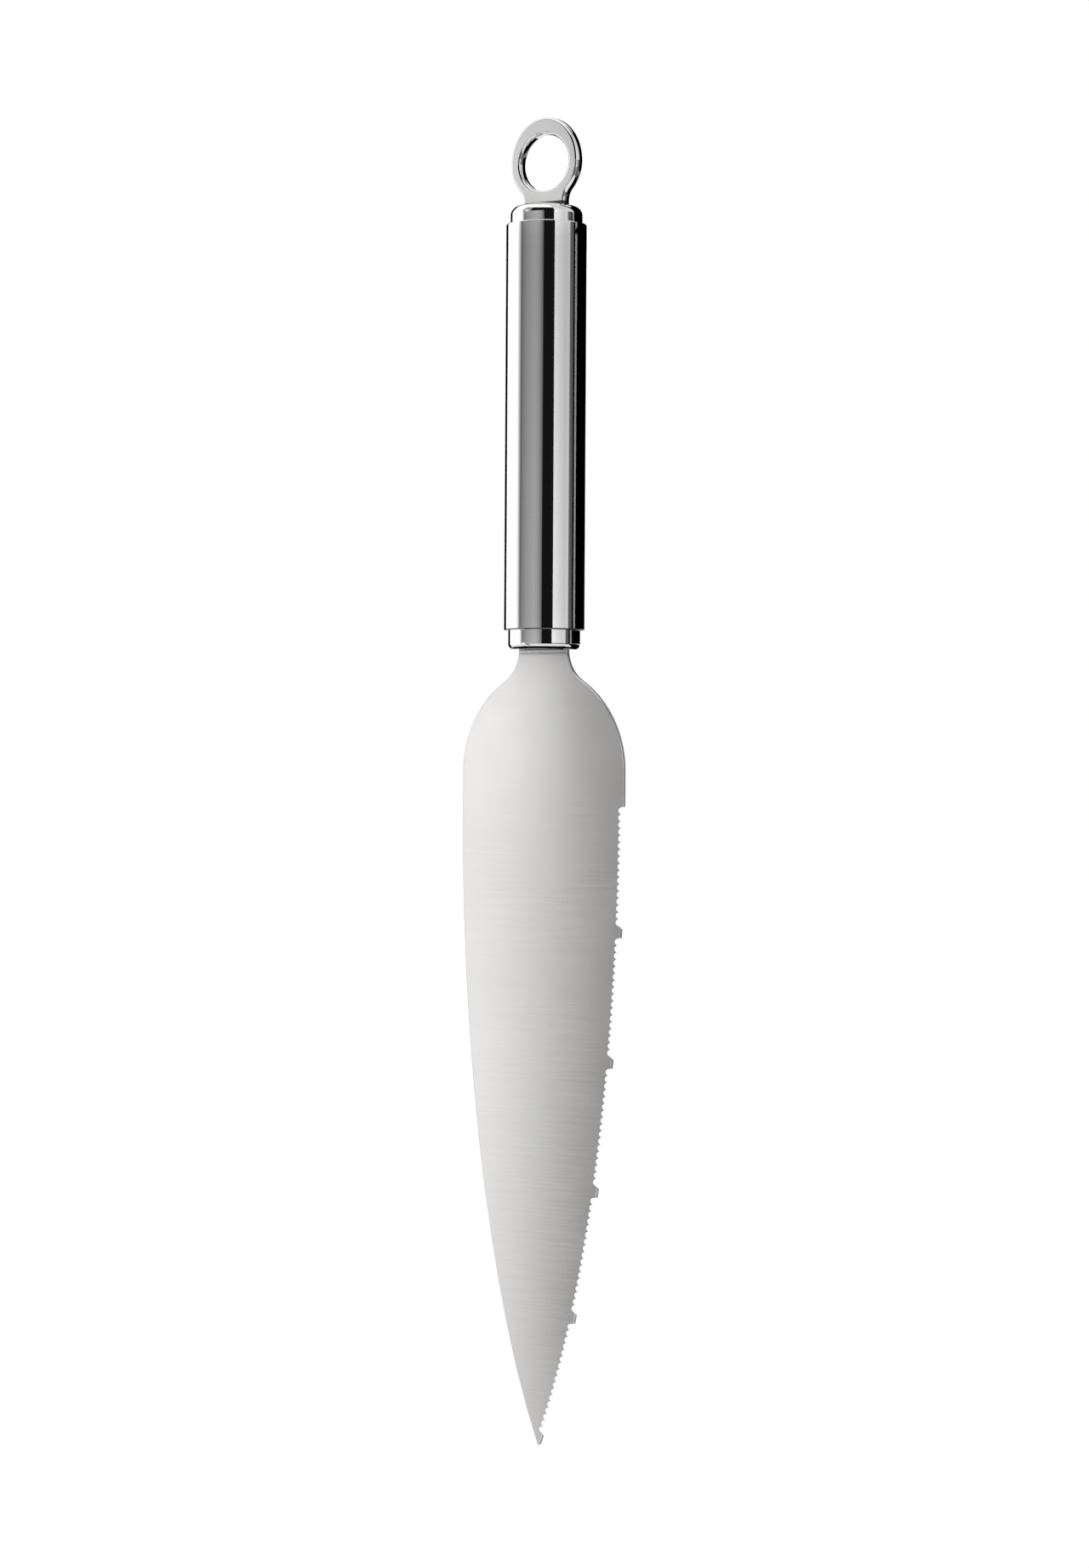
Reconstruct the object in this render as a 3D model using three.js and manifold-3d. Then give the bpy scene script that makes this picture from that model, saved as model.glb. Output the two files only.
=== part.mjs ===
// Cake knife with a serrated lancet blade, a round tube handle and a plate eye to hang it by.
// Millimetres. The knife hangs along Z with the eye at the top. X runs across the blade, with the
// serrated edge on the +X side, and Y is square to the blade, with its front face towards -Y.
// The origin is the centre of the eye's hole.

import * as THREE from 'three';
import { mergeVertices } from 'three/addons/utils/BufferGeometryUtils.js';
import Module from 'manifold-3d';

const wasm = await Module();
wasm.setup();

// Handle tube
const TUBE_DIAMETER = 18;
const TUBE_WALL = 0.9;
const TUBE_LENGTH = 90.7;
const TUBE_EDGE_BREAK = 0.25;

// End caps, two drawn cups that plug the tube
const CAP_WALL = 1;
const CAP_SKIRT = 9;
const CAP_SKIRT_CHAMFER = 0.4;
const CAP_INNER_ROUND = 0.5;
const REAR_CAP_RISE = 4.05;
const REAR_CAP_ROUND = 2;
const FRONT_CAP_RISE = 4.2;
const FRONT_CAP_ROUND = 1.2;

// Hanging ring, a plate eye with a bulging rim on a waisted neck
const RING_THICKNESS = 2.8;
const RING_HOLE_DIAMETER = 12.45;
const RING_SIDE_RIM = 2.65;
const RING_TOP_RIM = 4;
const RING_NECK_WIDTH = 10.9;
const RING_NECK_FILLET = 4;
const RING_NECK_LENGTH = 1;
const RING_RIM_BULGE = 0.7;
const RING_RIM_FLAT = 0.3;
const SHANK_SHOULDER = 0.9;
const SHANK_LENGTH = 9;

// Blade outline, a lancet on a filleted neck
const BLADE_LENGTH = 177.8;
const BLADE_WIDTH = 42.55;
const BLADE_THICKNESS = 1;
const BLADE_EDGE_BREAK = 0.12;
const NECK_WIDTH = 12.8;
const NECK_FILLET = 8.4;
const SHOULDER_RADIUS = 24;
const FLANK_START = 38.3;
const FLANK_PULL = 31.6;
const TIP_PULL = 45;
const TIP_ANGLE = THREE.MathUtils.degToRad(22.4);
const TIP_RADIUS = 0.25;
const TANG_LENGTH = 15;
const TANG_CORNER = 1.5;

// Serrated edge, runs of ground scallops between plain lands
const SERRATION_START = 35;
const RUN_PITCH = 28.9;
const LAND_LENGTH = 2.4;
const SCALLOP_PITCH = 1.5;
const SCALLOP_DEPTH = 0.65;
const VALLEY_DEPTH = 1.3;
const GRIND_ANGLE = THREE.MathUtils.degToRad(40);
const RAMP_ANGLE = THREE.MathUtils.degToRad(65);

// Fillet welds that hold the tang and the shank inside the caps
const WELD_LEG = 1;
const WELD_ROUND = 0.6;

// Clearances between pieces
const CAP_FIT = 0.05;
const SLOT_FIT = 0.15;
const SEAT_FIT = 0.05;
const WELD_ROOM = 0.6;

// Facets
const ROUND_SEGMENTS = 48;
const BLADE_ARC_STEPS = 16;
const RING_ARC_STEPS = 8;
const CAP_ARC_STEPS = 4;
const WELD_ARC_STEPS = 3;
const WELD_ROUND_STEPS = 2;
const RING_RIM_STEPS = 4;
const EDGE_BREAK_STEPS = 1;
const SCALLOP_FACETS = 6;
const CUTTER_MARGIN = 1;
const MERGE_DISTANCE = 1e-4;

// Radii of the handle and of the ring, and the centre of the fillet on its right side
const tubeRadius = TUBE_DIAMETER / 2;
const capRadius = tubeRadius - TUBE_WALL - CAP_FIT;
const cupRadius = capRadius - CAP_WALL;
const ringRadius = RING_HOLE_DIAMETER / 2 + RING_SIDE_RIM;
const ringRimDepth = (RING_THICKNESS - RING_RIM_FLAT) / 2;
const waistOut = RING_NECK_WIDTH / 2 + RING_NECK_FILLET;
const waistUp = -Math.sqrt((ringRadius + RING_NECK_FILLET) ** 2 - waistOut ** 2);

// Levels of the seats, from the ring down
const ringSeat = waistUp - RING_NECK_LENGTH;
const rearCapTop = ringSeat - SEAT_FIT;
const tubeTop = rearCapTop - REAR_CAP_RISE;
const tubeBottom = tubeTop - TUBE_LENGTH;
const frontCapBottom = tubeBottom - FRONT_CAP_RISE;
const bladeRoot = frontCapBottom - SEAT_FIT;
const frontFloor = frontCapBottom + CAP_WALL + SEAT_FIT;
const rearFloor = rearCapTop - CAP_WALL - SEAT_FIT;

// Widest flat tongue whose weld stays clear of the inside corner of a cap
function tongueWidth(thickness) {
  const reach = cupRadius - CAP_INNER_ROUND - WELD_ROOM - WELD_LEG;
  return 2 * (Math.sqrt(reach ** 2 - (thickness / 2 + SLOT_FIT) ** 2) - SLOT_FIT);
}

const tangWidth = tongueWidth(BLADE_THICKNESS);
const shankWidth = Math.min(RING_NECK_WIDTH - 2 * SHANK_SHOULDER, tongueWidth(RING_THICKNESS));

// Steel finishes
function steel(color, roughness) {
  return new THREE.MeshStandardMaterial({ color, roughness, metalness: 1 });
}

const polishedSteel = () => steel(0xc4c6c8, 0.12);
const satinSteel = () => steel(0xc9c9c8, 0.38);
const weldSteel = () => steel(0x8f8d8a, 0.55);

// Turns a closed geometry into a solid for cutting
function toSolid(geometry) {
  const bare = geometry.clone();
  bare.deleteAttribute('normal');
  bare.deleteAttribute('uv');
  const merged = mergeVertices(bare, MERGE_DISTANCE);
  return new wasm.Manifold(new wasm.Mesh({
    numProp: 3,
    vertProperties: new Float32Array(merged.attributes.position.array),
    triVerts: new Uint32Array(merged.index.array),
  }));
}

function toGeometry(solid) {
  const mesh = solid.getMesh();
  const geometry = new THREE.BufferGeometry();
  geometry.setAttribute('position', new THREE.BufferAttribute(mesh.vertProperties, 3));
  geometry.setIndex(new THREE.BufferAttribute(mesh.triVerts, 1));
  geometry.computeVertexNormals();
  return geometry;
}

function cut(geometry, cutters) {
  let solid = toSolid(geometry);
  for (const cutter of cutters) {
    solid = solid.subtract(toSolid(cutter));
  }
  return toGeometry(solid);
}

function join(first, second) {
  return toGeometry(toSolid(first).add(toSolid(second)));
}

// Block centred on Z between two levels
function block(width, depth, top, bottom) {
  const geometry = new THREE.BoxGeometry(width, depth, top - bottom);
  geometry.translate(0, 0, (top + bottom) / 2);
  return geometry;
}

// Sheet of the given outline lying in the XZ plane, centred on Y, with rounded or broken edges
function sheet(outline, thickness, edgeDepth, edgeWidth, edgeSteps, arcSteps) {
  const geometry = new THREE.ExtrudeGeometry(outline, {
    depth: thickness - 2 * edgeDepth,
    bevelEnabled: true,
    bevelThickness: edgeDepth,
    bevelSize: edgeWidth,
    bevelOffset: -edgeWidth,
    bevelSegments: edgeSteps,
    curveSegments: arcSteps,
  });
  geometry.translate(0, 0, edgeDepth - thickness / 2);
  geometry.rotateX(Math.PI / 2);
  return geometry;
}

// Block of a flat tang that passes through a cap, with clearance all round
function slotCutter(width, thickness, top, bottom) {
  return block(width + 2 * SLOT_FIT, thickness + 2 * SLOT_FIT, top, bottom);
}

function tubeGeometry() {
  const inner = tubeRadius - TUBE_WALL;
  const profile = [
    new THREE.Vector2(inner, tubeBottom),
    new THREE.Vector2(tubeRadius - TUBE_EDGE_BREAK, tubeBottom),
    new THREE.Vector2(tubeRadius, tubeBottom + TUBE_EDGE_BREAK),
    new THREE.Vector2(tubeRadius, tubeTop - TUBE_EDGE_BREAK),
    new THREE.Vector2(tubeRadius - TUBE_EDGE_BREAK, tubeTop),
    new THREE.Vector2(inner, tubeTop),
    new THREE.Vector2(inner, tubeBottom),
  ];
  return new THREE.LatheGeometry(profile, ROUND_SEGMENTS);
}

// Cup with its crown at height zero and its skirt running down, before the slot is cut
function cupGeometry(rise, round) {
  const floorRadius = cupRadius - CAP_INNER_ROUND;
  const floorEnd = -CAP_WALL - CAP_INNER_ROUND;
  const rim = -rise - CAP_SKIRT;
  const section = new THREE.Path();
  section.moveTo(0, -CAP_WALL);
  section.lineTo(floorRadius, -CAP_WALL);
  section.absarc(floorRadius, floorEnd, CAP_INNER_ROUND, Math.PI / 2, 0, true);
  section.lineTo(cupRadius, rim);
  section.lineTo(capRadius - CAP_SKIRT_CHAMFER, rim);
  section.lineTo(capRadius, rim + CAP_SKIRT_CHAMFER);
  section.lineTo(capRadius, -round);
  section.absarc(capRadius - round, -round, round, 0, Math.PI / 2, false);
  section.lineTo(0, 0);
  return new THREE.LatheGeometry(section.getPoints(CAP_ARC_STEPS), ROUND_SEGMENTS);
}

function rearCapGeometry() {
  const cup = cupGeometry(REAR_CAP_RISE, REAR_CAP_ROUND);
  cup.rotateX(Math.PI / 2);
  cup.translate(0, 0, rearCapTop);
  const above = rearCapTop + CUTTER_MARGIN;
  const below = rearCapTop - CAP_WALL - CUTTER_MARGIN;
  return cut(cup, [slotCutter(shankWidth, RING_THICKNESS, above, below)]);
}

function frontCapGeometry() {
  const cup = cupGeometry(FRONT_CAP_RISE, FRONT_CAP_ROUND);
  cup.rotateX(-Math.PI / 2);
  cup.translate(0, 0, frontCapBottom);
  const above = frontCapBottom + CAP_WALL + CUTTER_MARGIN;
  const below = frontCapBottom - CUTTER_MARGIN;
  return cut(cup, [slotCutter(tangWidth, BLADE_THICKNESS, above, below)]);
}

// Eye with a round lower half, a taller oval top and a waisted neck that runs on below its seat
function eyeOutline(neckEnd) {
  const crown = RING_HOLE_DIAMETER / 2 + RING_TOP_RIM;
  const neck = RING_NECK_WIDTH / 2;
  const touch = Math.atan2(waistUp, waistOut);
  const outline = new THREE.Shape();
  outline.moveTo(-neck, neckEnd);
  outline.lineTo(neck, neckEnd);
  outline.lineTo(neck, waistUp);
  outline.absarc(waistOut, waistUp, RING_NECK_FILLET, Math.PI, Math.PI + touch, true);
  outline.absarc(0, 0, ringRadius, touch, 0, false);
  outline.absellipse(0, 0, ringRadius, crown, 0, Math.PI / 2, false);
  outline.absellipse(0, 0, ringRadius, crown, Math.PI / 2, Math.PI, false);
  outline.absarc(0, 0, ringRadius, Math.PI, Math.PI - touch, false);
  outline.absarc(-waistOut, waistUp, RING_NECK_FILLET, -touch, 0, true);
  outline.closePath();
  const hole = new THREE.Path();
  hole.absarc(0, 0, RING_HOLE_DIAMETER / 2, 0, -Math.PI, true);
  hole.absarc(0, 0, RING_HOLE_DIAMETER / 2, -Math.PI, -2 * Math.PI, true);
  outline.holes.push(hole);
  return outline;
}

// Eye cut square at its seat, on the narrower shank that the rear cap holds
function ringGeometry() {
  const neckEnd = ringSeat - RING_RIM_BULGE - CUTTER_MARGIN;
  const outline = eyeOutline(neckEnd);
  const eye = sheet(outline, RING_THICKNESS, ringRimDepth, RING_RIM_BULGE, RING_RIM_STEPS, RING_ARC_STEPS);
  const waste = block(
    RING_NECK_WIDTH + CUTTER_MARGIN, RING_THICKNESS + CUTTER_MARGIN, ringSeat, neckEnd - CUTTER_MARGIN);
  const shank = block(shankWidth, RING_THICKNESS, ringSeat, rearCapTop - SHANK_LENGTH);
  return join(cut(eye, [waste]), shank);
}

// Circles and curve of one side of the blade, measured out from the centre line and up from the root
const halfWidth = BLADE_WIDTH / 2;
const filletOut = NECK_WIDTH / 2 + NECK_FILLET;
const shoulderOut = halfWidth - SHOULDER_RADIUS;
const shoulderDown = Math.sqrt((SHOULDER_RADIUS + NECK_FILLET) ** 2 - (filletOut - shoulderOut) ** 2);
const shoulderTurn = Math.atan2(shoulderDown, filletOut - shoulderOut);
const tipCentre = TIP_RADIUS - BLADE_LENGTH;
const tipOut = TIP_RADIUS * Math.cos(TIP_ANGLE);
const tipStart = tipCentre - TIP_RADIUS * Math.sin(TIP_ANGLE);
const flank = new THREE.CubicBezierCurve(
  new THREE.Vector2(halfWidth, -FLANK_START),
  new THREE.Vector2(halfWidth, -FLANK_START - FLANK_PULL),
  new THREE.Vector2(tipOut + TIP_PULL * Math.sin(TIP_ANGLE), tipStart + TIP_PULL * Math.cos(TIP_ANGLE)),
  new THREE.Vector2(tipOut, tipStart),
);
const flankLength = flank.getLength();

// Whole runs of serration that share the edge from their start to the tip
const serrationStart = SERRATION_START - FLANK_START;
const runCount = Math.round((flankLength - serrationStart) / RUN_PITCH);
const runPitch = (flankLength - serrationStart) / runCount;

function bladeOutline() {
  const neck = NECK_WIDTH / 2;
  const tang = tangWidth / 2;
  const quarter = Math.PI / 2;
  const outline = new THREE.Shape();
  outline.moveTo(tang, 0);
  outline.lineTo(tang, TANG_LENGTH - TANG_CORNER);
  outline.absarc(tang - TANG_CORNER, TANG_LENGTH - TANG_CORNER, TANG_CORNER, 0, quarter, false);
  outline.absarc(TANG_CORNER - tang, TANG_LENGTH - TANG_CORNER, TANG_CORNER, quarter, Math.PI, false);
  outline.lineTo(-tang, 0);
  outline.lineTo(-neck, 0);
  outline.absarc(-filletOut, 0, NECK_FILLET, 0, -shoulderTurn, true);
  outline.absarc(-shoulderOut, -shoulderDown, SHOULDER_RADIUS, Math.PI - shoulderTurn, Math.PI, false);
  outline.lineTo(-flank.v0.x, flank.v0.y);
  outline.bezierCurveTo(-flank.v1.x, flank.v1.y, -flank.v2.x, flank.v2.y, -flank.v3.x, flank.v3.y);
  outline.absarc(0, tipCentre, TIP_RADIUS, Math.PI + TIP_ANGLE, 2 * Math.PI - TIP_ANGLE, false);
  outline.bezierCurveTo(flank.v2.x, flank.v2.y, flank.v1.x, flank.v1.y, flank.v0.x, flank.v0.y);
  outline.absarc(shoulderOut, -shoulderDown, SHOULDER_RADIUS, 0, shoulderTurn, false);
  outline.absarc(filletOut, 0, NECK_FILLET, Math.PI + shoulderTurn, Math.PI, true);
  outline.closePath();
  return outline;
}

// Point on the cutting edge and its direction, at a distance along it from the start of the flank
function edgeAt(distance) {
  const share = THREE.MathUtils.clamp(distance / flankLength, 0, 1);
  const onward = flank.getTangentAt(share);
  const beyond = distance - share * flankLength;
  return { point: flank.getPointAt(share).addScaledVector(onward, beyond), onward };
}

// Comb that grinds one run of scallops from the back, slanted so that the teeth are sharp at the front
function scallopComb(runStart) {
  const length = runPitch - LAND_LENGTH;
  const sine = Math.sin(GRIND_ANGLE);
  const cosine = Math.cos(GRIND_ANGLE);

  // Wheel that leaves a scallop of the given depth and pitch
  const hollow = SCALLOP_DEPTH * sine;
  const wheel = (SCALLOP_PITCH ** 2 / 4 + hollow ** 2) / (2 * hollow);

  // A run starts in a steep wheel cut and ends in a ramp up to the next land
  const climb = VALLEY_DEPTH * sine;
  const rampSlope = Math.tan(RAMP_ANGLE) * sine;
  const rampTurn = Math.atan(rampSlope);
  const steepReach = climb < wheel ? Math.sqrt(2 * wheel * climb - climb ** 2) : wheel;
  const rampFoot = wheel * Math.sin(rampTurn);
  const rampReach = rampFoot + (climb - wheel * (1 - Math.cos(rampTurn))) / rampSlope;
  const gaps = Math.round((length - steepReach - rampReach) / SCALLOP_PITCH);
  const pitch = (length - steepReach - rampReach) / gaps;

  // Wheel centres follow the curve of the flank, seen along the stroke of the wheel
  const middle = edgeAt(runStart + length / 2);
  const outward = new THREE.Vector2(-middle.onward.y, middle.onward.x);
  const bow = (along) => edgeAt(runStart + length / 2 + along).point.sub(middle.point).dot(outward);
  const faceLevel = (BLADE_THICKNESS / 2) * cosine;
  const centres = [];
  for (let i = 0; i <= gaps; i += 1) {
    const along = steepReach - length / 2 + i * pitch;
    const valley = (bow(along) - VALLEY_DEPTH) * sine - faceLevel;
    centres.push(new THREE.Vector2(along, valley + wheel));
  }

  // Half angle of the arc that a wheel cuts between its two neighbours
  const meet = Math.asin(pitch / 2 / wheel);
  const top = faceLevel + CUTTER_MARGIN;
  const points = [new THREE.Vector2(centres[0].x - wheel, top)];
  centres.forEach((centre, i) => {
    const from = i === 0 ? -Math.PI : -Math.PI / 2 - meet;
    const to = i === gaps ? rampTurn - Math.PI / 2 : meet - Math.PI / 2;
    const arc = new THREE.ArcCurve(centre.x, centre.y, wheel, from, to, false);
    points.push(...arc.getPoints(SCALLOP_FACETS).slice(i === 0 ? 0 : 1));
  });
  const rampStart = points[points.length - 1];
  points.push(new THREE.Vector2(rampStart.x + (top - rampStart.y) / rampSlope, top));

  const deepest = VALLEY_DEPTH + BLADE_THICKNESS / Math.tan(GRIND_ANGLE);
  const overrun = (BLADE_THICKNESS / 2) * sine + CUTTER_MARGIN;
  const depth = deepest * cosine + 2 * overrun;
  const comb = new THREE.ExtrudeGeometry(new THREE.Shape(points), { depth, bevelEnabled: false });
  comb.translate(0, 0, overrun - depth);
  const place = new THREE.Matrix4().makeBasis(
    new THREE.Vector3(middle.onward.x, 0, middle.onward.y),
    new THREE.Vector3(outward.x * sine, cosine, outward.y * sine),
    new THREE.Vector3(outward.x * cosine, -sine, outward.y * cosine),
  );
  place.setPosition(middle.point.x, 0, middle.point.y);
  return comb.applyMatrix4(place);
}

function bladeGeometry() {
  const combs = [];
  for (let run = 0; run < runCount; run += 1) {
    combs.push(scallopComb(serrationStart + run * runPitch));
  }
  const outline = bladeOutline();
  const blank = sheet(
    outline, BLADE_THICKNESS, BLADE_EDGE_BREAK, BLADE_EDGE_BREAK, EDGE_BREAK_STEPS, BLADE_ARC_STEPS);
  const blade = cut(blank, combs);
  blade.translate(0, 0, bladeRoot);
  return blade;
}

// Bead laid round a tang on the inside of a cap, thick at its foot and rounded off at its top
function weldGeometry(width, thickness, foot, upward) {
  const halfX = width / 2 + SLOT_FIT + WELD_LEG;
  const halfY = thickness / 2 + SLOT_FIT + WELD_LEG;
  const outline = new THREE.Shape();
  outline.moveTo(-halfX, -halfY + WELD_LEG);
  outline.absarc(-halfX + WELD_LEG, -halfY + WELD_LEG, WELD_LEG, Math.PI, 1.5 * Math.PI, false);
  outline.absarc(halfX - WELD_LEG, -halfY + WELD_LEG, WELD_LEG, 1.5 * Math.PI, 2 * Math.PI, false);
  outline.absarc(halfX - WELD_LEG, halfY - WELD_LEG, WELD_LEG, 0, Math.PI / 2, false);
  outline.absarc(-halfX + WELD_LEG, halfY - WELD_LEG, WELD_LEG, Math.PI / 2, Math.PI, false);
  outline.closePath();
  const bead = new THREE.ExtrudeGeometry(outline, {
    depth: WELD_LEG,
    bevelEnabled: true,
    bevelThickness: WELD_ROUND,
    bevelSize: WELD_ROUND,
    bevelOffset: -WELD_ROUND,
    bevelSegments: WELD_ROUND_STEPS,
    curveSegments: WELD_ARC_STEPS,
  });
  bead.translate(0, 0, -WELD_ROUND);
  const sunk = 2 * WELD_ROUND + CUTTER_MARGIN;
  const floor = block(2 * halfX + CUTTER_MARGIN, 2 * halfY + CUTTER_MARGIN, 0, -sunk);
  const slot = slotCutter(width, thickness, WELD_LEG + CUTTER_MARGIN, -sunk);
  const weld = cut(bead, [floor, slot]);
  if (!upward) {
    weld.rotateX(Math.PI);
  }
  weld.translate(0, 0, foot);
  return weld;
}

const knife = new THREE.Group();

function addPiece(name, geometry, material) {
  const piece = new THREE.Mesh(geometry, material);
  piece.name = name;
  knife.add(piece);
}

addPiece('blade', bladeGeometry(), satinSteel());
addPiece('front_cap', frontCapGeometry(), polishedSteel());
addPiece('handle_tube', tubeGeometry().rotateX(Math.PI / 2), polishedSteel());
addPiece('rear_cap', rearCapGeometry(), polishedSteel());
addPiece('hanging_ring', ringGeometry(), satinSteel());
addPiece('tang_weld', weldGeometry(tangWidth, BLADE_THICKNESS, frontFloor, true), weldSteel());
addPiece('ring_weld', weldGeometry(shankWidth, RING_THICKNESS, rearFloor, false), weldSteel());

export default knife;
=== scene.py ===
"""Cake knife: finished surfaces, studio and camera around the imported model. Metres, row frame."""

import math

import bpy
from mathutils import Matrix, Vector
from mathutils.geometry import tessellate_polygon


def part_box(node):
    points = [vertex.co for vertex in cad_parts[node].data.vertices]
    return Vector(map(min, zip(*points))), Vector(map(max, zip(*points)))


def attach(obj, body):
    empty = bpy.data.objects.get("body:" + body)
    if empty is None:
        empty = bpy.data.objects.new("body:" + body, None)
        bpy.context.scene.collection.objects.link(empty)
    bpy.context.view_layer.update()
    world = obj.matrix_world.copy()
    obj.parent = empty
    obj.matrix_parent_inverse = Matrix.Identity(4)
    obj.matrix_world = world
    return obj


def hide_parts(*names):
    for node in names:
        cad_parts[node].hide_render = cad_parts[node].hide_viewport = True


MM = 0.001
TURN = 2 * math.pi
QUARTER = math.pi / 2

# Camera, read from the photograph's perspective
IMAGE_HEIGHT = 1843
FOCAL_PIXELS = 4300
SENSOR = 36.0
CLIP_NEAR = 0.01
CLIP_FAR = 50
CAMERA_AZIMUTH = math.radians(32.5)
CAMERA_DISTANCE = 818.2 * MM
CAMERA_SIDE = 0.27 * MM
EYE_LEVEL = -138.84 * MM
CAMERA_ROLL = math.radians(0.34)

# Handle tube and caps
TUBE_WALL = 0.9 * MM
TUBE_EDGE = 0.28 * MM
TUBE_INNER_EDGE = 0.1 * MM
CAP_WALL = 1.0 * MM
CAP_INNER_ROUND = 0.5 * MM
CAP_RIM_CHAMFER = 0.4 * MM
REAR_CAP_ROUND = 2.0 * MM
FRONT_CAP_ROUND = 1.2 * MM
SLOT_FIT = 0.15 * MM
TANG_WIDTH = 9.5 * MM
TANG_THICKNESS = 1.0 * MM
SHANK_WIDTH = 9.1 * MM

# Hanging ring
RING_HOLE = 6.225 * MM
RING_NECK = 5.45 * MM
RING_FILLET = 4.0 * MM
RING_NECK_LENGTH = 1.0 * MM
RING_BULGE = 0.7 * MM
RING_FLAT = 0.3 * MM

# Facets
ROUND_SEGMENTS = 192
FILLET_STEPS = 14
EDGE_STEPS = 8
BULGE_STEPS = 12
RING_STEPS = 24
HOLE_STEPS = 128

# Steels: dark and light tone, range of roughness, strokes per metre along X, Y and Z, bump, anisotropy
BRIGHT = ((0.73, 0.73, 0.725), (0.77, 0.77, 0.765), (0.04, 0.08), (200, 200, 3000), 0.002, 0.0)
BRUSHED = ((0.69, 0.68, 0.67), (0.78, 0.77, 0.76), (0.205, 0.255), (60, 60, 2000), 0.07, 0.9)
FINE_SATIN = ((0.71, 0.71, 0.70), (0.78, 0.78, 0.77), (0.18, 0.24), (900, 900, 900), 0.02, 0.0)
AS_WELDED = ((0.30, 0.28, 0.26), (0.55, 0.53, 0.50), (0.4, 0.6), (1800, 1800, 1800), 0.6, 0.0)

# Grain: strokes and soft clouds, and the share that each has in the roughness
STROKE_DETAIL = 3
STROKE_SHARE = 0.6
CLOUD_SCALE = 90
CLOUD_DETAIL = 2
CLOUD_RANGE = (0.3, 0.7)
CLOUD_SHARE = 0.4
GRAIN_RANGE = (0.2, 0.8)
RELIEF_DEPTH = 0.01 * MM

# Painted shade at the seams between the pieces (a dark contact shadow and dark reflection painted into
# the steel's colour), and the cut edges of the blade
SEAM_SHADE_COLOR = (0.07, 0.07, 0.065, 1)
SEAM_SHADE_WIDTH = 0.4 * MM
SEAM_SHADE_CORE = 0.15 * MM
RING_SEAM_SHADE = 1.05 * MM
EDGE_COLOR = (0.58, 0.575, 0.57, 1)
EDGE_ROUGHNESS = 0.65
EDGE_RANGE = (0.3, 0.6)

# Studio: surroundings, floor and lamp
SURROUND_LIGHT = 0.8
SURROUND_SEEN = 1.0
FLOOR_LEVEL = -0.34
FLOOR_SIZE = 12.0
FLOOR_COLOR = (0.95, 0.95, 0.95, 1)
FLOOR_ROUGHNESS = 0.9
FLOOR_LIFT = 0.5
LAMP_ENERGY = 0.95
LAMP_SPREAD = math.radians(40)
LAMP_TILT = (math.radians(18), math.radians(-24), 0)

# Sphere of cards round the knife. Azimuths run in degrees from -Y towards +X
CARD_RADIUS = 0.7
CARD_CENTRE = -0.06
CARD_STEP = 6
WHITE = 1.4
FLAG = 0.008

# Elevations where cards end
LOW = -23
TOP = 14.5
UPPER_TOP = 52
RIGHT_LOW = -2.4
RIGHT_TOP = 13.5
BACK_LOW = -3

# Azimuths where cards meet
BACK_LEFT = -108.5
LEFT = -57
UPPER_LEFT = -20
FRONT = 24.5
RIGHT = 56.4
UPPER_RIGHT = 58
SIDE = 104
SIDE_GAP = 117
BACK_RIGHT = 152
BACK = 205

# Factors up a card, by elevation, and levels along the front card, by azimuth
HANDLE_BAND = ((-1.6, 1.32), (-0.8, 1.14), (12, 0.9), (12.6, 1.3))
LEFT_BAND = ((LOW, 1.32), *HANDLE_BAND, (TOP, 1.3))
RIGHT_BAND = ((RIGHT_LOW, 1.32), *HANDLE_BAND, (80, 0.95))
BACK_FADE = ((LOW, 1), (-5, 1), (-2.5, 0), (70, 0))
FRONT_LEVELS = (
    (-42, 0.13), (-36, 0.24), (-22, 0.34), (-10, 0.39),
    (2, 0.43), (12, 0.37), (18, 0.27), (FRONT, 0.13),
)

# Dark level sheets, and how far they lie from the ground and from the caps
FAN_DARK_SHARE = 0.6
GROUND_GAP = 1.0 * MM
CAP_LEAF_GAP = 0.6 * MM
CAP_DISC_GAP = 1.0 * MM
TUBE_LEAF_GAP = 0.3 * MM

# Card that shades the blade: height, half width of its fade, levels on the spine's and the edge's side
BLADE_CARD_ROWS = (
    (-0.104, 7 * MM, 4.80, 0.62),
    (-0.112, 7 * MM, 2.45, 0.53),
    (-0.132, 16 * MM, 0.96, 0.34),
    (-0.160, 22 * MM, 1.24, 0.28),
    (-0.215, 20 * MM, 1.29, 0.27),
    (-0.280, 13 * MM, 1.10, 0.20),
    (-0.310, 7 * MM, 1.00, 0.14),
    (-0.335, 4 * MM, 0.95, 0.15),
)
BLADE_CARD_AWAY = 200 * MM
BLADE_CARD_REACH = 45 * MM
BLADE_CARD_SIDE = 14 * MM
BLADE_CARD_END = 0.5

# Small reflector for the face of the ring: levels across it, and factors by height
RING_CARD_AWAY = 120 * MM
RING_CARD_SIDES = ((-0.016, 0.87), (0.016, 0.64))
RING_CARD_RISES = ((0.0065, 1.8), (0.016, 1.25), (0.034, 1.05), (0.060, 1.0))


def placed(name, data):
    """New object in the scene."""
    thing = bpy.data.objects.new(name, data)
    bpy.context.scene.collection.objects.link(thing)
    return thing


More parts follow.
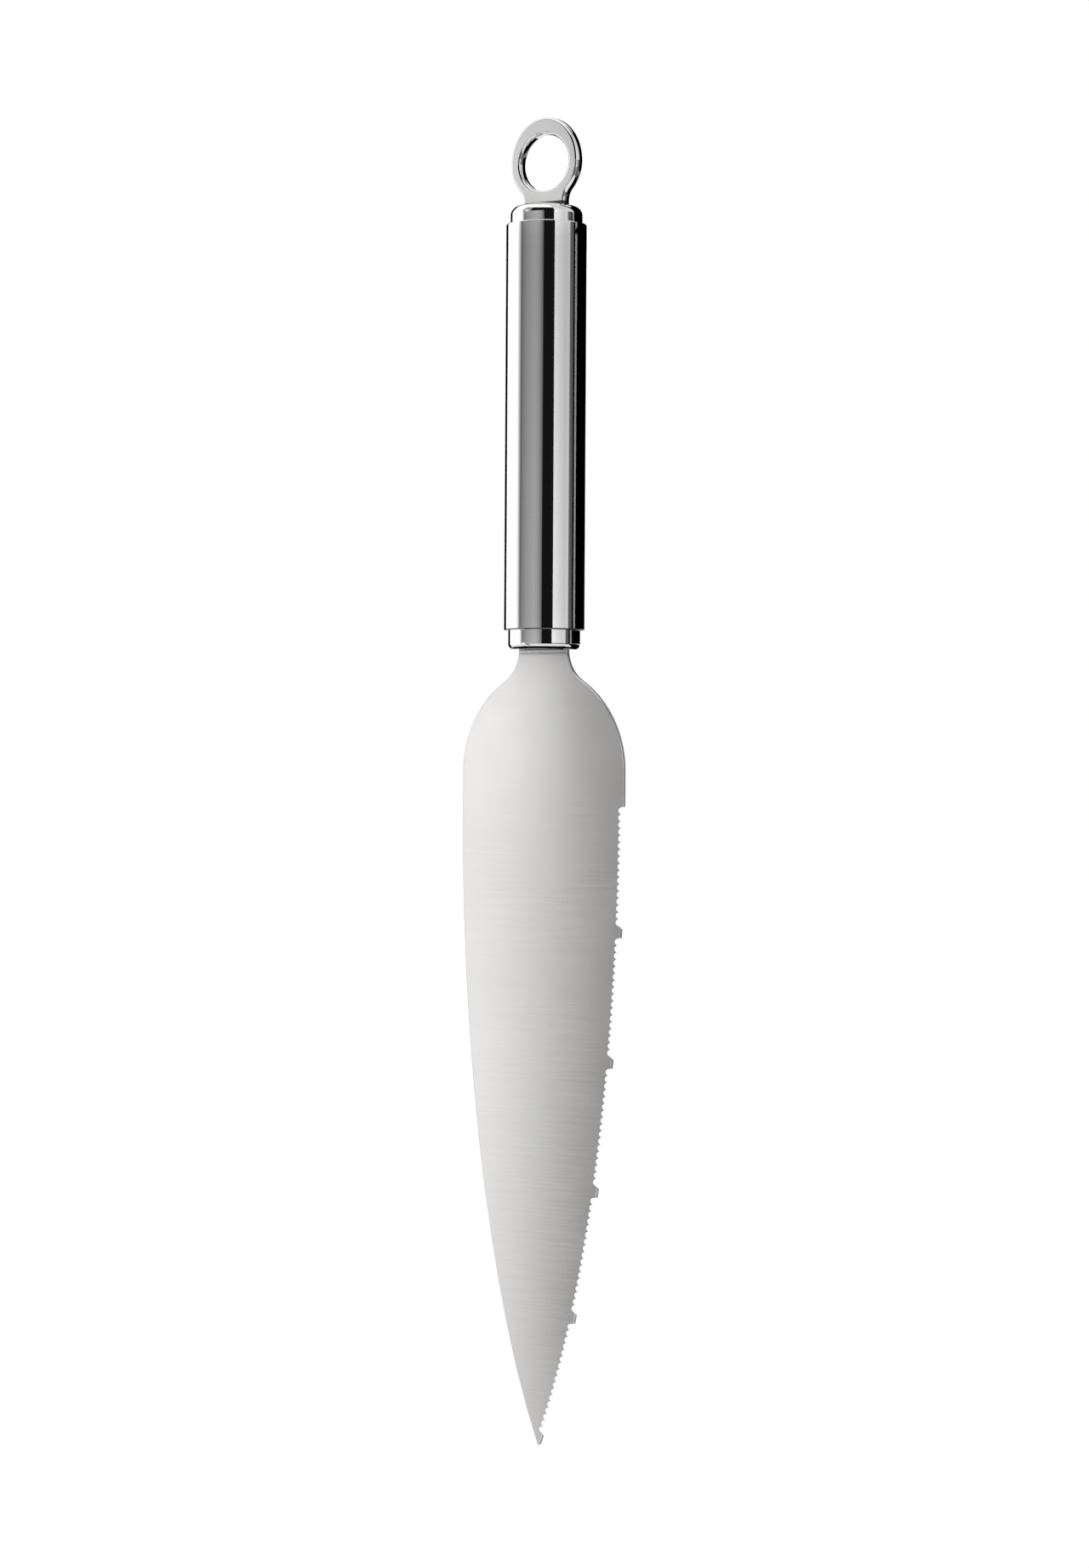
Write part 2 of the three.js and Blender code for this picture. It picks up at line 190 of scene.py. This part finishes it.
class Path:
    """Outline of lines and arcs, with the normals on its right at both ends of each piece."""

    def __init__(self, x, y):
        self.points = [(x, y)]
        self.normals = []

    def line(self, x, y):
        x0, y0 = self.points[-1]
        length = math.hypot(x - x0, y - y0)
        normal = ((y - y0) / length, (x0 - x) / length)
        self.points.append((x, y))
        self.normals.append((normal, normal))
        return self

    def arc(self, cx, cy, rx, ry, start, end, steps):
        """Arc of an ellipse about (cx, cy), from the point the path has reached."""
        side = 1 if end > start else -1

        def normal(a):
            n = Vector((math.cos(a) / rx, math.sin(a) / ry)).normalized() * side
            return (n.x, n.y)

        angles = [start + (end - start) * i / steps for i in range(steps + 1)]
        for a, b in zip(angles, angles[1:]):
            self.points.append((cx + rx * math.cos(b), cy + ry * math.sin(b)))
            self.normals.append((normal(a), normal(b)))
        return self

    def close(self):
        """Drops the last point of a path that has come back to its start."""
        self.points.pop()
        return self


class Draft:
    """Mesh under construction, with a material and the normals of its corners for each face."""

    def __init__(self):
        self.vertices = []
        self.faces = []
        self.corners = []
        self.finishes = []

    def vertex(self, x, y, z):
        self.vertices.append((x, y, z))
        return len(self.vertices) - 1

    def face(self, indices, normals, finish=0):
        self.faces.append(indices)
        self.corners.append(normals)
        self.finishes.append(finish)

    def flat(self, loops, normal):
        """Fills a flat outline and its holes."""
        outlines = [[Vector(self.vertices[i]) for i in loop] for loop in loops]
        indices = [i for loop in loops for i in loop]
        for triangle in tessellate_polygon(outlines):
            a, b, c = (Vector(self.vertices[indices[t]]) for t in triangle)
            order = triangle if (b - a).cross(c - a).dot(normal) > 0 else triangle[::-1]
            self.face([indices[t] for t in order], [normal] * 3)

    def build(self, name, *materials):
        mesh = bpy.data.meshes.new(name)
        mesh.from_pydata(self.vertices, [], self.faces)
        for material in materials:
            mesh.materials.append(material)
        mesh.polygons.foreach_set("material_index", self.finishes)
        mesh.polygons.foreach_set("use_smooth", [True] * len(self.faces))
        mesh.normals_split_custom_set([n for face in self.corners for n in face])
        mesh.update()
        return placed(name, mesh)


def spun(draft, path, flip=False):
    """Turns a path of (radius, height) about Z and returns its rings. flip sets it upside down."""
    side = -1 if flip else 1
    angles = [TURN * i / ROUND_SEGMENTS for i in range(ROUND_SEGMENTS + 1)]

    def turned(normal, angle):
        return (normal[0] * math.cos(angle), normal[0] * math.sin(angle), side * normal[1])

    rings = [
        [draft.vertex(r * math.cos(a), r * math.sin(a), side * z) for a in angles[:-1]]
        for r, z in path.points
    ]
    for k, (start, end) in enumerate(path.normals):
        lower, upper = rings[k], rings[(k + 1) % len(rings)]
        for i in range(ROUND_SEGMENTS):
            j = (i + 1) % ROUND_SEGMENTS
            a, b = angles[i], angles[i + 1]
            face = [lower[i], lower[j], upper[j], upper[i]]
            normals = [turned(start, a), turned(start, b), turned(end, b), turned(end, a)]
            if flip:
                face.reverse()
                normals.reverse()
            draft.face(face, normals)
    return rings


def tube_piece(material):
    """Round tube with rounded outer edges and broken inner ones."""
    low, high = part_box("handle_tube")
    radius, bottom, top = high.x, low.z, high.z
    inner = radius - TUBE_WALL
    edge, fine = TUBE_EDGE, TUBE_INNER_EDGE
    path = Path(inner + fine, bottom)
    path.line(radius - edge, bottom)
    path.arc(radius - edge, bottom + edge, edge, edge, -QUARTER, 0, EDGE_STEPS)
    path.line(radius, top - edge)
    path.arc(radius - edge, top - edge, edge, edge, 0, QUARTER, EDGE_STEPS)
    path.line(inner + fine, top)
    path.line(inner, top - fine)
    path.line(inner, bottom + fine)
    path.line(inner + fine, bottom)
    draft = Draft()
    spun(draft, path.close())
    return draft.build("handle_tube_polished", material)


def cap_piece(name, node, round_, slot_width, slot_depth, upward, material):
    """Drawn cup with its crown outward, open at its skirt and slotted for what it holds."""
    low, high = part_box(node)
    radius = high.x
    inner = radius - CAP_WALL
    crown, rim = (high.z, low.z) if upward else (-low.z, -high.z)
    floor = crown - CAP_WALL
    path = Path(inner - CAP_INNER_ROUND, floor)
    path.arc(
        inner - CAP_INNER_ROUND, floor - CAP_INNER_ROUND, CAP_INNER_ROUND, CAP_INNER_ROUND,
        QUARTER, 0, EDGE_STEPS)
    path.line(inner, rim)
    path.line(radius - CAP_RIM_CHAMFER, rim)
    path.line(radius, rim + CAP_RIM_CHAMFER)
    path.line(radius, crown - round_)
    path.arc(radius - round_, crown - round_, round_, round_, 0, QUARTER, FILLET_STEPS)
    draft = Draft()
    rings = spun(draft, path, not upward)

    # Crown and floor round the slot, then the slot's four walls
    side = 1 if upward else -1
    x, y = slot_width / 2 + SLOT_FIT, slot_depth / 2 + SLOT_FIT
    corners = [(x, y), (-x, y), (-x, -y), (x, -y)]
    outside = [draft.vertex(cx, cy, side * crown) for cx, cy in corners]
    inside = [draft.vertex(cx, cy, side * floor) for cx, cy in corners]
    draft.flat([rings[-1], outside], Vector((0, 0, side)))
    draft.flat([rings[0], inside], Vector((0, 0, -side)))
    for i in range(4):
        j = (i + 1) % 4
        middle = Vector((corners[i][0] + corners[j][0], corners[i][1] + corners[j][1], 0))
        normal = -middle.normalized()
        face = [outside[i], outside[j], inside[j], inside[i]]
        if not upward:
            face.reverse()
        draft.face(face, [normal] * 4)
    return draft.build(name, material)


def plate_rim(draft, path, front, back, closed):
    """Bulging rim of a plate along a path in the XZ plane, in layers from its front face to its back."""
    count = len(path.points)
    depth = (back - front - RING_FLAT) / 2

    # Across the rim: depth from the front, inset from the path, and the normal's share of each
    stations = []
    for i in range(BULGE_STEPS + 1):
        t = QUARTER * i / BULGE_STEPS
        normal = Vector((math.sin(t) / RING_BULGE, -math.cos(t) / depth)).normalized()
        y = front + depth * (1 - math.cos(t))
        stations.append((y, RING_BULGE * (1 - math.sin(t)), normal.x, normal.y))
    stations += [(back + front - y, inset, out, -turn) for y, inset, out, turn in reversed(stations)]

    # Along the path: how each point moves when the outline is inset
    mitres = []
    for i in range(count):
        before = path.normals[i - 1][1] if closed or i > 0 else path.normals[0][0]
        after = path.normals[i][0] if i < len(path.normals) else path.normals[-1][1]
        before, after = Vector(before), Vector(after)
        mitres.append((before + after) / (1 + before.dot(after)))

    layers = []
    for y, inset, _, _ in stations:
        layers.append([
            draft.vertex(x - mitre.x * inset, y, z - mitre.y * inset)
            for (x, z), mitre in zip(path.points, mitres)
        ])
    for k in range(len(layers) - 1):
        near, far = stations[k], stations[k + 1]
        for i, (start, end) in enumerate(path.normals):
            j = (i + 1) % count
            face = [layers[k][i], layers[k + 1][i], layers[k + 1][j], layers[k][j]]
            normals = [
                (n[0] * s[2], s[3], n[1] * s[2])
                for n, s in ((start, near), (start, far), (end, far), (end, near))
            ]
            draft.face(face, normals, 1)
    return layers


def ring_piece(face, rim):
    """Plate eye with a bulging rim, cut square at its seat, and its narrower shank."""
    low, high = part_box("hanging_ring")
    radius, crown = high.x, high.z
    waist_x = RING_NECK + RING_FILLET
    waist_z = -math.sqrt((radius + RING_FILLET) ** 2 - waist_x ** 2)
    touch = math.atan2(waist_z, waist_x)
    seat = waist_z - RING_NECK_LENGTH
    outer = Path(RING_NECK, seat)
    outer.line(RING_NECK, waist_z)
    outer.arc(waist_x, waist_z, RING_FILLET, RING_FILLET, math.pi, math.pi + touch, RING_STEPS)
    outer.arc(0, 0, radius, radius, touch, 0, RING_STEPS)
    outer.arc(0, 0, radius, crown, 0, math.pi, 3 * RING_STEPS)
    outer.arc(0, 0, radius, radius, math.pi, math.pi - touch, RING_STEPS)
    outer.arc(-waist_x, waist_z, RING_FILLET, RING_FILLET, -touch, 0, RING_STEPS)
    outer.line(-RING_NECK, seat)
    hole = Path(RING_HOLE, 0)
    hole.arc(0, 0, RING_HOLE, RING_HOLE, 0, -TURN, HOLE_STEPS)
    draft = Draft()
    eye = plate_rim(draft, outer, low.y, high.y, False)
    bore = plate_rim(draft, hole.close(), low.y, high.y, True)

    # Corners of the shank, left and right, at the seat and at its end, on the front and on the back
    shank = SHANK_WIDTH / 2
    corners = ((-shank, seat), (-shank, low.z), (shank, low.z), (shank, seat))
    front, back = ([draft.vertex(x, y, z) for x, z in corners] for y in (low.y, high.y))
    draft.flat([eye[0] + front, bore[0]], Vector((0, -1, 0)))
    draft.flat([eye[-1] + back, bore[-1]], Vector((0, 1, 0)))
    for i, normal in enumerate(((-1, 0, 0), (0, 0, -1), (1, 0, 0))):
        draft.face([back[i], back[i + 1], front[i + 1], front[i]], [normal] * 4)
    draft.flat([[layer[0] for layer in eye] + [back[3], front[3]]], Vector((0, 0, -1)))
    draft.flat([[layer[-1] for layer in eye] + [back[0], front[0]]], Vector((0, 0, -1)))
    return draft.build("hanging_ring_finished", face, rim)


class Nodes:
    """Short way to add shader nodes. A value is a constant or the output of another node."""

    # Ports of the mix node for its two values and its result
    MIX_PORTS = {"FLOAT": ((2, 3), 0), "RGBA": ((6, 7), 2)}

    def __init__(self, tree):
        self.tree = tree

    def add(self, kind, **settings):
        node = self.tree.nodes.new(kind)
        for key, value in settings.items():
            setattr(node, key, value)
        return node

    def feed(self, port, value):
        if isinstance(value, bpy.types.NodeSocket):
            self.tree.links.new(value, port)
        else:
            port.default_value = value

    def calc(self, operation, *values):
        node = self.add("ShaderNodeMath", operation=operation)
        for port, value in zip(node.inputs, values):
            self.feed(port, value)
        return node.outputs[0]

    def component(self, vector, axis):
        node = self.add("ShaderNodeSeparateXYZ")
        self.feed(node.inputs["Vector"], vector)
        return node.outputs[axis]

    def noise(self, coordinates, scale, detail, stretch):
        mapping = self.add("ShaderNodeMapping")
        self.feed(mapping.inputs["Scale"], stretch)
        self.feed(mapping.inputs["Vector"], coordinates)
        node = self.add("ShaderNodeTexNoise")
        self.feed(node.inputs["Scale"], scale)
        self.feed(node.inputs["Detail"], detail)
        self.feed(node.inputs["Vector"], mapping.outputs["Vector"])
        return node.outputs["Fac"]

    def remap(self, value, low, high, to_low, to_high):
        node = self.add("ShaderNodeMapRange")
        self.feed(node.inputs["From Min"], low)
        self.feed(node.inputs["From Max"], high)
        self.feed(node.inputs["To Min"], to_low)
        self.feed(node.inputs["To Max"], to_high)
        self.feed(node.inputs["Value"], value)
        return node.outputs["Result"]

    def blend(self, factor, first, second, kind="RGBA"):
        """Mixes from the first value to the second, colours or plain numbers."""
        node = self.add("ShaderNodeMix", data_type=kind)
        ports, result = self.MIX_PORTS[kind]
        self.feed(node.inputs[0], factor)
        for port, value in zip(ports, (first, second)):
            self.feed(node.inputs[port], value)
        return node.outputs[result]


def new_material(name):
    material = bpy.data.materials.new(name)
    material.use_nodes = True
    return material, Nodes(material.node_tree)


def steel(name, dark, light, rough, grain, bump, anisotropy, seam_shade=None, sheared=False):
    """Steel with a fine grain, from one of the recipes at the head of this file.

    The two heights for the seam's painted shade: the steel's colour darkens from the first to the
    second, where it meets a piece, as a painted contact shadow and dark reflection.
    sheared steel is a sheet square to Y, and the edges it was cut along are dull.
    """
    material, nodes = new_material(name)
    coordinates = nodes.add("ShaderNodeTexCoord")
    place = coordinates.outputs["Object"]
    strokes = nodes.noise(place, 1, STROKE_DETAIL, grain)
    clouds = nodes.noise(place, CLOUD_SCALE, CLOUD_DETAIL, (1, 1, 1))
    color = nodes.blend(strokes, (*dark, 1), (*light, 1))
    # Painted shade: the colour darkens near the join, a painted contact shadow and dark reflection
    if seam_shade:
        depth = nodes.remap(nodes.component(place, "Z"), *seam_shade, 0, 1)
        color = nodes.blend(depth, color, SEAM_SHADE_COLOR)
    uneven = nodes.remap(clouds, *CLOUD_RANGE, 0.0, CLOUD_SHARE)
    texture = nodes.calc("MULTIPLY_ADD", strokes, STROKE_SHARE, uneven)
    roughness = nodes.remap(texture, *GRAIN_RANGE, *rough)
    if sheared:
        square = nodes.calc("ABSOLUTE", nodes.component(coordinates.outputs["Normal"], "Y"))
        face = nodes.remap(square, *EDGE_RANGE, 0, 1)
        roughness = nodes.blend(face, EDGE_ROUGHNESS, roughness, "FLOAT")
        color = nodes.blend(face, EDGE_COLOR, color)
    tangent = nodes.add("ShaderNodeTangent", direction_type="RADIAL", axis="X")
    relief = nodes.add("ShaderNodeBump")
    nodes.feed(relief.inputs["Strength"], bump)
    nodes.feed(relief.inputs["Distance"], RELIEF_DEPTH)
    nodes.feed(relief.inputs["Height"], strokes)
    shader = material.node_tree.nodes["Principled BSDF"]
    shader.inputs["Metallic"].default_value = 1.0
    shader.inputs["Anisotropic"].default_value = anisotropy
    nodes.feed(shader.inputs["Base Color"], color)
    nodes.feed(shader.inputs["Roughness"], roughness)
    nodes.feed(shader.inputs["Tangent"], tangent.outputs["Tangent"])
    nodes.feed(shader.inputs["Normal"], relief.outputs["Normal"])
    return material


def card(name, rows):
    """Glowing studio card from rows of (point, level). It shows in reflections only."""
    mesh = bpy.data.meshes.new(name)
    wide = len(rows[0])
    corners = [corner for row in rows for corner in row]
    faces = []
    for r in range(len(rows) - 1):
        for c in range(wide - 1):
            i = r * wide + c
            faces.append((i, i + 1, i + 1 + wide, i + wide))
    mesh.from_pydata([point for point, _ in corners], [], faces)
    layer = mesh.uv_layers.new(name="level")
    for loop in mesh.loops:
        layer.data[loop.index].uv = (corners[loop.vertex_index][1], 0)
    material, nodes = new_material(name)
    material.node_tree.nodes.clear()
    level = nodes.add("ShaderNodeUVMap", uv_map="level")
    glow = nodes.add("ShaderNodeEmission")
    nodes.feed(glow.inputs["Strength"], nodes.component(level.outputs["UV"], "X"))
    out = nodes.add("ShaderNodeOutputMaterial")
    nodes.feed(out.inputs["Surface"], glow.outputs["Emission"])
    mesh.materials.append(material)
    sheet = placed(name, mesh)
    sheet.visible_camera = False
    sheet.visible_diffuse = False
    sheet.visible_shadow = False


def filled(stops):
    """Stops of (angle, value) with even steps filled in between."""
    result = [stops[0]]
    for (start, first), (end, last) in zip(stops, stops[1:]):
        steps = max(1, round((end - start) / CARD_STEP))
        for i in range(1, steps + 1):
            t = i / steps
            result.append((start + (end - start) * t, first + (last - first) * t))
    return result


def span(low, high):
    """Rises of a card that is even from one elevation to the other."""
    return ((low, 1), (high, 1))


def around(azimuth, elevation):
    """Point on the sphere of cards."""
    a, e = math.radians(azimuth), math.radians(elevation)
    flat = CARD_RADIUS * math.cos(e)
    return (flat * math.sin(a), -flat * math.cos(a), CARD_CENTRE + CARD_RADIUS * math.sin(e))


def dome(name, rises, *stops):
    """Card on the sphere. rises are (elevation, factor) up it, stops are (azimuth, level) along it."""
    columns = filled(stops)
    card(name, [
        [(around(azimuth, elevation), level * factor) for azimuth, level in columns]
        for elevation, factor in filled(rises)
    ])


def fan(name, inner, outer, height, start, end, glow=0.0):
    """Dark level card, a sector about Z between two radii and two azimuths. Its rim may glow."""
    rim = []
    for azimuth, _ in filled(((start, 0), (end, 0))):
        a = math.radians(azimuth)
        rim.append((math.sin(a), -math.cos(a)))
    middle = inner + (outer - inner) * FAN_DARK_SHARE
    card(name, [
        [((x * r, y * r, height), level) for x, y in rim]
        for r, level in ((inner, 0), (middle, 0), (outer, glow))
    ])


def facing_card(name, distance, rows):
    """Upright card that the blade's and the ring's faces reflect to the camera.

    rows are (height, sides), and sides are (offset, level) across the card.
    """
    away = Vector((-math.sin(CAMERA_AZIMUTH), -math.cos(CAMERA_AZIMUTH), 0)) * distance
    aside = Vector((math.cos(CAMERA_AZIMUTH), -math.sin(CAMERA_AZIMUTH), 0))
    card(name, [
        [(away + aside * offset + Vector((0, 0, z)), level) for offset, level in sides]
        for z, sides in rows
    ])


def handle_cards():
    """Softboxes, flags and cards that the polished handle reflects."""
    dome("back_left_flag", span(LOW, 35), (-142.5, 0.0), (BACK_LEFT, 0.0))
    dome("left_softbox", span(LOW, 75), (BACK_LEFT, WHITE), (LEFT, WHITE))
    dome("front_left_card", LEFT_BAND, (LEFT, WHITE), *FRONT_LEVELS)
    dome("front_flag", span(LOW, TOP), (FRONT, FLAG), (RIGHT, FLAG))
    dome("upper_left_card", span(TOP, UPPER_TOP), (LEFT, WHITE), (-47, 0.3), (UPPER_LEFT, 0.3))
    dome("upper_flag", span(TOP, UPPER_TOP), (UPPER_LEFT, FLAG), (UPPER_RIGHT, FLAG))
    dome("overhead_softbox", span(UPPER_TOP, 88), (LEFT, WHITE), (UPPER_RIGHT, WHITE))
    dome("right_softbox", RIGHT_BAND, (57.6, 0.92), (90, 0.64), (SIDE, 0.7))
    dome("right_low_card", span(LOW, RIGHT_LOW), (RIGHT, 0.3), (SIDE, 0.3))
    dome("right_end", span(LOW, RIGHT_TOP), (SIDE, 0.16), (SIDE_GAP, 0.09))
    dome("right_gap", span(LOW, RIGHT_TOP), (SIDE_GAP, 0.0), (124, 0.0))
    dome("right_line", span(LOW, RIGHT_TOP), (124.5, 0.28), (129.5, 0.28))
    dome("right_upper_card", span(RIGHT_TOP, 60), (SIDE, 0.8), (127, 0.8))
    dome("back_right_edge", BACK_FADE, (130, 0.2), (BACK_RIGHT, 0.2))
    dome("back_right_flag", span(BACK_LOW, 48), (BACK_RIGHT, 0.0), (BACK, 0.0))
    dome("back_low_card", span(LOW, BACK_LOW), (BACK_RIGHT, 0.35), (180, 0.75), (BACK, 0.95))


def dark_sheets():
    """Dark ground behind the knife, dark sheets under the front cap, and two that the ring reflects."""
    cap_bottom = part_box("front_cap")[0].z
    tube_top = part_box("handle_tube")[1].z
    fan("ground_card", 4 * MM, 200 * MM, FLOOR_LEVEL + GROUND_GAP, 122.5, 302.5)
    fan("cap_leaf", 0.6 * MM, 30 * MM, cap_bottom - CAP_LEAF_GAP, 92, 185, 0.5)
    fan("cap_disc", 0.1 * MM, 8.2 * MM, cap_bottom - CAP_DISC_GAP, 0, 360)
    fan("rim_leaf", 8.3 * MM, 28 * MM, tube_top + TUBE_LEAF_GAP, 107, 200)
    fan("hole_leaf", 28 * MM, 45 * MM, tube_top + TUBE_LEAF_GAP, 129.5, 200)


def face_cards():
    """Cards that shade the blade from its spine to its edge, and light the face of the ring."""
    rows = []
    for z, half, spine, edge in BLADE_CARD_ROWS:
        rows.append((z, (
            (-BLADE_CARD_REACH, BLADE_CARD_END), (-half - BLADE_CARD_SIDE, spine), (-half, spine),
            (half, edge), (half + BLADE_CARD_SIDE, edge), (BLADE_CARD_REACH, BLADE_CARD_END),
        )))
    facing_card("blade_card", BLADE_CARD_AWAY, rows)
    facing_card("ring_card", RING_CARD_AWAY, [
        (z, [(offset, level * factor) for offset, level in RING_CARD_SIDES])
        for z, factor in RING_CARD_RISES
    ])


def studio_world():
    """White surroundings for the camera and for reflections, and a plain level of soft light."""
    world = bpy.data.worlds.new("studio")
    bpy.context.scene.world = world
    world.use_nodes = True
    nodes = Nodes(world.node_tree)
    background = world.node_tree.nodes["Background"]
    background.inputs["Color"].default_value = (1, 1, 1, 1)
    path = nodes.add("ShaderNodeLightPath")
    seen = path.outputs["Is Camera Ray"]
    for ray in ("Is Glossy Ray", "Is Transmission Ray"):
        seen = nodes.calc("MAXIMUM", seen, path.outputs[ray])
    strength = nodes.remap(seen, 0, 1, SURROUND_LIGHT, SURROUND_SEEN)
    nodes.feed(background.inputs["Strength"], strength)


def studio_floor():
    """Pale floor, lifted towards white for the camera."""
    mesh = bpy.data.meshes.new("floor")
    half = FLOOR_SIZE / 2
    corners = [(-half, -half), (half, -half), (half, half), (-half, half)]
    mesh.from_pydata([(x, y, FLOOR_LEVEL) for x, y in corners], [], [(0, 1, 2, 3)])
    material, nodes = new_material("floor")
    shader = material.node_tree.nodes["Principled BSDF"]
    shader.inputs["Base Color"].default_value = FLOOR_COLOR
    shader.inputs["Roughness"].default_value = FLOOR_ROUGHNESS
    shader.inputs["Specular IOR Level"].default_value = 0.0
    glow = nodes.add("ShaderNodeEmission")
    path = nodes.add("ShaderNodeLightPath")
    mix = nodes.add("ShaderNodeMixShader")
    nodes.feed(mix.inputs[0], nodes.calc("MULTIPLY", path.outputs["Is Camera Ray"], FLOOR_LIFT))
    nodes.feed(mix.inputs[1], shader.outputs["BSDF"])
    nodes.feed(mix.inputs[2], glow.outputs["Emission"])
    nodes.feed(material.node_tree.nodes["Material Output"].inputs["Surface"], mix.outputs["Shader"])
    mesh.materials.append(material)
    floor = placed("floor", mesh)


def studio_lamp():
    """Soft light from above, which doesn't show in reflections."""
    lamp = bpy.data.lights.new("soft_key", "SUN")
    lamp.energy = LAMP_ENERGY
    lamp.angle = LAMP_SPREAD
    holder = placed("soft_key", lamp)
    holder.rotation_euler = LAMP_TILT
    holder.visible_glossy = False


def studio_camera():
    """Level camera to the right of the blade's face, with the photograph's slight roll."""
    data = bpy.data.cameras.new("camera")
    data.sensor_fit = "AUTO"
    data.sensor_width = SENSOR
    data.lens = FOCAL_PIXELS * SENSOR / IMAGE_HEIGHT
    data.clip_start, data.clip_end = CLIP_NEAR, CLIP_FAR
    camera = placed("camera", data)
    back = Vector((math.sin(CAMERA_AZIMUTH), -math.cos(CAMERA_AZIMUTH), 0))
    right = Vector((math.cos(CAMERA_AZIMUTH), math.sin(CAMERA_AZIMUTH), 0))
    place = back * CAMERA_DISTANCE + right * CAMERA_SIDE + Vector((0, 0, EYE_LEVEL))
    turn = (-back).to_track_quat("-Z", "Y").to_matrix().to_4x4()
    camera.matrix_world = Matrix.Translation(place) @ turn @ Matrix.Rotation(CAMERA_ROLL, 4, "Z")
    bpy.context.scene.camera = camera


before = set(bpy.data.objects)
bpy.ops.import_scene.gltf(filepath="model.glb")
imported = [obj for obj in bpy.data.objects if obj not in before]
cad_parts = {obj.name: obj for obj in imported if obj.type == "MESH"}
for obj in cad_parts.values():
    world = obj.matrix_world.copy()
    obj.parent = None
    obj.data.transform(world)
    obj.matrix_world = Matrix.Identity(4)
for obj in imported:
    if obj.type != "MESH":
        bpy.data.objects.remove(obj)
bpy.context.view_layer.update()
bpy.context.scene.view_settings.view_transform = "Standard"

studio_camera()
studio_world()
studio_floor()
studio_lamp()
handle_cards()
dark_sheets()
face_cards()

# Steel, with painted shade at the seams where the tube, the ring and the blade meet the caps: a contact
# shadow and dark reflection painted into the colour
tube_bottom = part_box("handle_tube")[0].z
blade_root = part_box("front_cap")[0].z
ring_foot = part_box("rear_cap")[1].z
tube_seam_shade = (tube_bottom + SEAM_SHADE_WIDTH, tube_bottom + SEAM_SHADE_CORE)
cap_seam_shade = (blade_root + SEAM_SHADE_WIDTH, blade_root + SEAM_SHADE_CORE)
blade_seam_shade = (blade_root - SEAM_SHADE_WIDTH, blade_root)
eye_seam_shade = (ring_foot + RING_SEAM_SHADE, ring_foot + RING_SEAM_SHADE - SEAM_SHADE_CORE)
rear_polish = steel("rear_cap_polish", *BRIGHT)
tube_polish = steel("tube_polish", *BRIGHT, tube_seam_shade)
front_polish = steel("front_cap_polish", *BRIGHT, cap_seam_shade)
satin = steel("blade_satin", *BRUSHED, blade_seam_shade, sheared=True)
eye_satin = steel("eye_satin", *FINE_SATIN, eye_seam_shade)
eye_polish = steel("eye_polish", *BRIGHT, eye_seam_shade)
weld = steel("weld_bead", *AS_WELDED)

# Tube, caps and ring, as smoother meshes of the CAD's shapes
eye_low, eye_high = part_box("hanging_ring")
shank_depth = eye_high.y - eye_low.y
pieces = [
    (tube_piece(tube_polish), "handle_tube", "tube_steel"),
    (cap_piece("rear_cap_polished", "rear_cap", REAR_CAP_ROUND, SHANK_WIDTH, shank_depth, True,
               rear_polish), "rear_cap", "cap_steel"),
    (cap_piece("front_cap_polished", "front_cap", FRONT_CAP_ROUND, TANG_WIDTH, TANG_THICKNESS, False,
               front_polish), "front_cap", "cap_steel"),
    (ring_piece(eye_satin, eye_polish), "hanging_ring", "ring_steel"),
]
for piece, node, slot in pieces:
    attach(piece, "root")
    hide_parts(node)

# Blade and welds keep the CAD's meshes
for node, material in (("blade", satin), ("tang_weld", weld), ("ring_weld", weld)):
    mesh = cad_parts[node].data
    mesh.materials.clear()
    mesh.materials.append(material)
